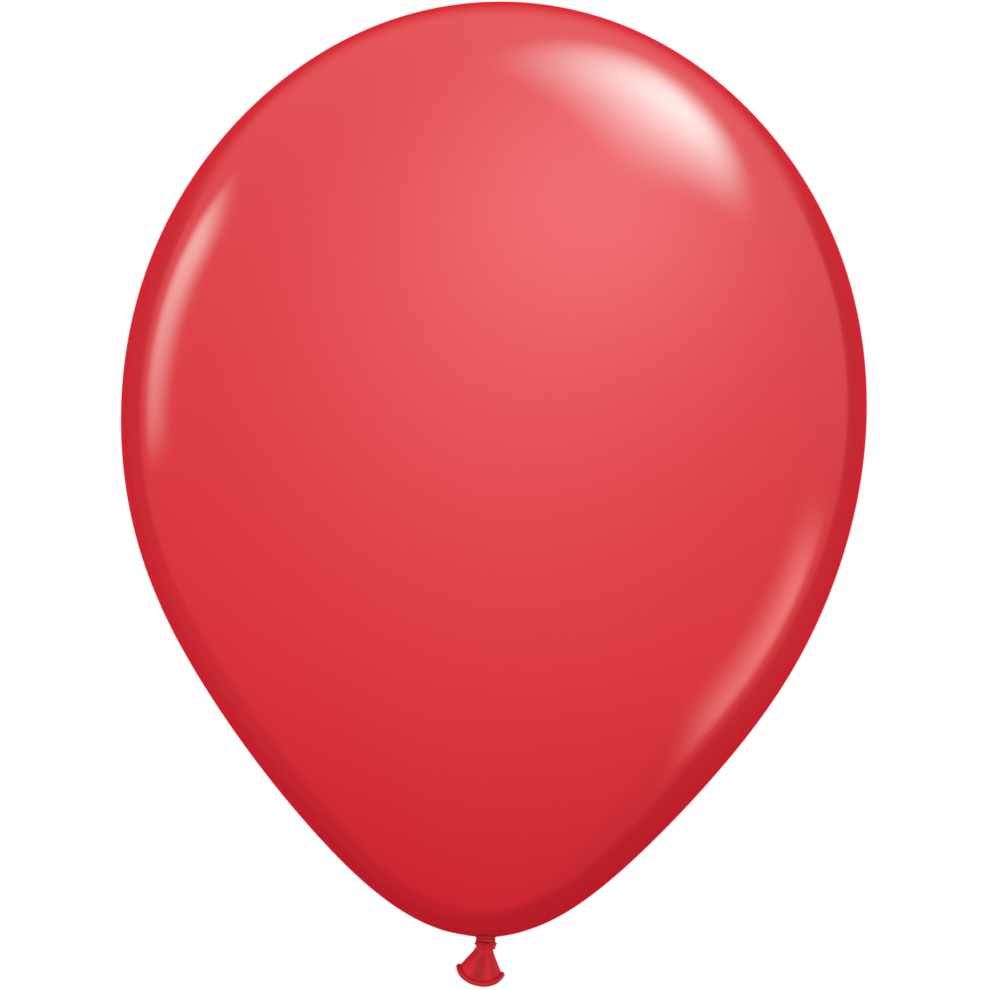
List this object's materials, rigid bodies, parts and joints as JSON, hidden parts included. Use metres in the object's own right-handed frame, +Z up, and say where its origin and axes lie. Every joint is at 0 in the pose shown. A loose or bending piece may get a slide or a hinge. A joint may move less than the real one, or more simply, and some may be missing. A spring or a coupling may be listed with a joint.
{
  "type": "latex balloon",
  "caption": "Inflated pear-shaped latex balloon, gathered and tied in a knot, with a flared tail and rolled lip, for party decoration.",
  "frame": {"origin": "the waist of the neck, just above the knot, where a ribbon is tied", "axes": "+Z up from the knot to the crown along the envelope's axis, -Y the front, X along the width of the flattened tail, which hangs to -X"},
  "size_m": [0.28, 0.28, 0.3704],
  "materials": {
    "envelope_film": "glossy stretched latex, slightly translucent",
    "gathered_film": "satin gathered latex",
    "knot_film": "satin relaxed latex",
    "tail_film": "satin relaxed latex",
    "lip_film": "satin rolled latex"
  },
  "bodies": {
    "envelope": {"envelope": "envelope_film"},
    "neck": {"neck": "gathered_film"},
    "knot": {"knot_loop": "knot_film", "knot_strand": "knot_film"},
    "tail": {"tail_skirt": "tail_film", "rolled_lip": "lip_film"}
  },
  "joints": [
    {"name": "neck_twist", "type": "hinge", "parent": "envelope", "child": "neck", "pos_m": [0, 0, 0], "axis": [0, 0, 1], "range_deg": [-180, 180], "stiffness_Nm_per_rad": 0.0002},
    {"name": "knot_tilt", "type": "hinge", "parent": "neck", "child": "knot", "pos_m": [0, 0, -0.00085], "axis": [0, 1, 0], "range_deg": [-10, 10], "stiffness_Nm_per_rad": 0.0008},
    {"name": "tail_flap", "type": "hinge", "parent": "knot", "child": "tail", "pos_m": [-0.0006, 0, -0.00544], "axis": [0.9848, 0, -0.1736], "range_deg": [-75, 75], "stiffness_Nm_per_rad": 0.0005}
  ]
}
